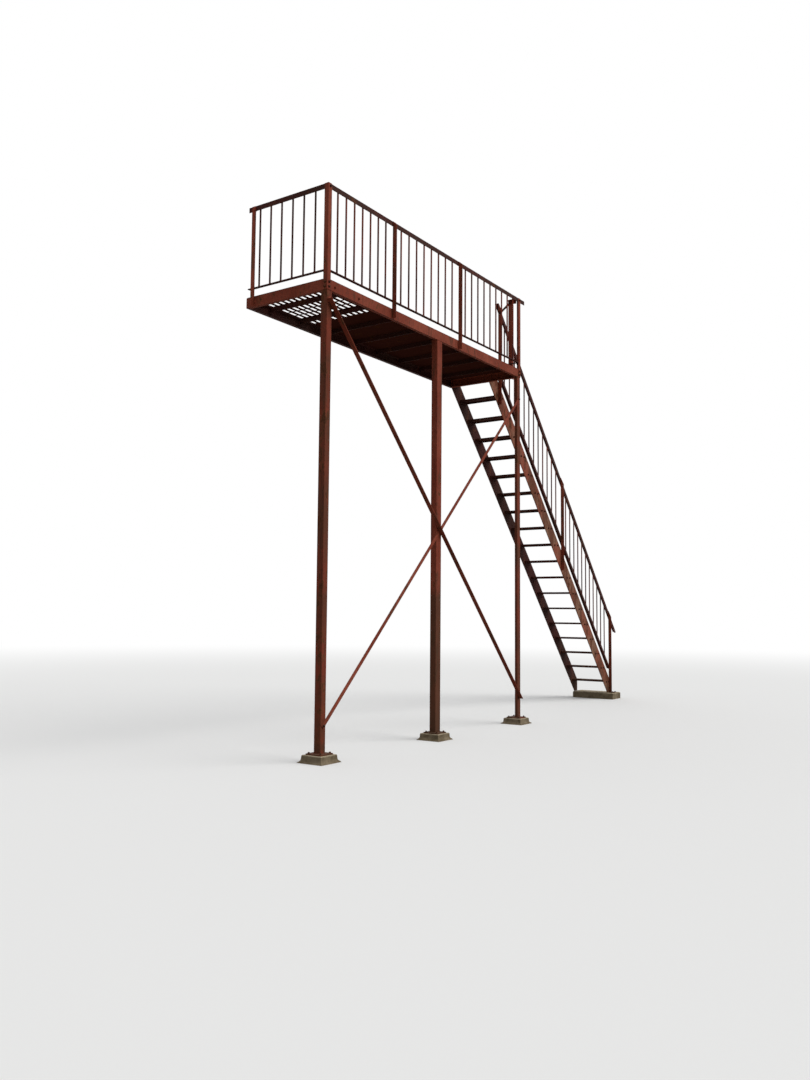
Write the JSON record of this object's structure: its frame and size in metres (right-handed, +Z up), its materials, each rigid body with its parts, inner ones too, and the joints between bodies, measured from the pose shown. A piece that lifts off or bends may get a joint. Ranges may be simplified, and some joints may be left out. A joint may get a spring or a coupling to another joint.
{
  "type": "fire escape stair",
  "caption": "Steel fire escape: a railed, part slatted platform on cross-braced posts along a wall, and a straight open-riser stair with a railing down to the ground.",
  "frame": {"origin": "middle of the underside of the left post's concrete footing", "axes": "+X along the wall from the platform towards the foot of the stair, +Y towards the wall, +Z up"},
  "size_m": [8.277, 1.147, 5.5082],
  "materials": {
    "red_oxide_paint": "weathered satin",
    "weathered_paint": "weathered matt",
    "tread_paint": "worn matt",
    "deck_paint": "worn matt",
    "footing_concrete": "rough"
  },
  "bodies": {
    "root": {"left_post": "red_oxide_paint", "middle_post": "red_oxide_paint", "right_post": "red_oxide_paint", "front_beam": "red_oxide_paint", "left_end_beam": "red_oxide_paint", "right_end_beam": "red_oxide_paint", "wall_ledger": "red_oxide_paint", "rising_brace": "red_oxide_paint", "corner_stanchion": "red_oxide_paint", "front_stanchions": "red_oxide_paint", "end_stanchion": "red_oxide_paint", "wall_stanchion": "red_oxide_paint", "return_stanchion": "red_oxide_paint", "front_pickets_left": "red_oxide_paint", "front_pickets_middle": "red_oxide_paint", "front_pickets_right": "red_oxide_paint", "left_railing": "red_oxide_paint", "return_railing": "red_oxide_paint", "rail_link": "red_oxide_paint", "outer_stringer": "red_oxide_paint", "stair_pickets": "red_oxide_paint", "stair_rail_posts": "red_oxide_paint", "deck_joists": "weathered_paint", "falling_brace": "weathered_paint", "front_top_rail": "weathered_paint", "front_bottom_rail": "weathered_paint", "inner_stringer": "weathered_paint", "stringer_clips": "weathered_paint", "stair_handrail": "weathered_paint", "stair_lower_rail": "weathered_paint", "tread_00": "tread_paint", "tread_01": "tread_paint", "tread_02": "tread_paint", "tread_03": "tread_paint", "tread_04": "tread_paint", "tread_05": "tread_paint", "tread_06": "tread_paint", "tread_07": "tread_paint", "tread_08": "tread_paint", "tread_09": "tread_paint", "tread_10": "tread_paint", "tread_11": "tread_paint", "tread_12": "tread_paint", "tread_13": "tread_paint", "tread_14": "tread_paint", "tread_15": "tread_paint", "tread_16": "tread_paint", "tread_17": "tread_paint", "tread_18": "tread_paint", "slatted_deck_panel": "deck_paint", "deck_plate_1": "deck_paint", "deck_plate_2": "deck_paint", "deck_plate_3": "deck_paint", "left_footing": "footing_concrete", "middle_footing": "footing_concrete", "right_footing": "footing_concrete", "stair_pad": "footing_concrete"}
  },
  "joints": []
}
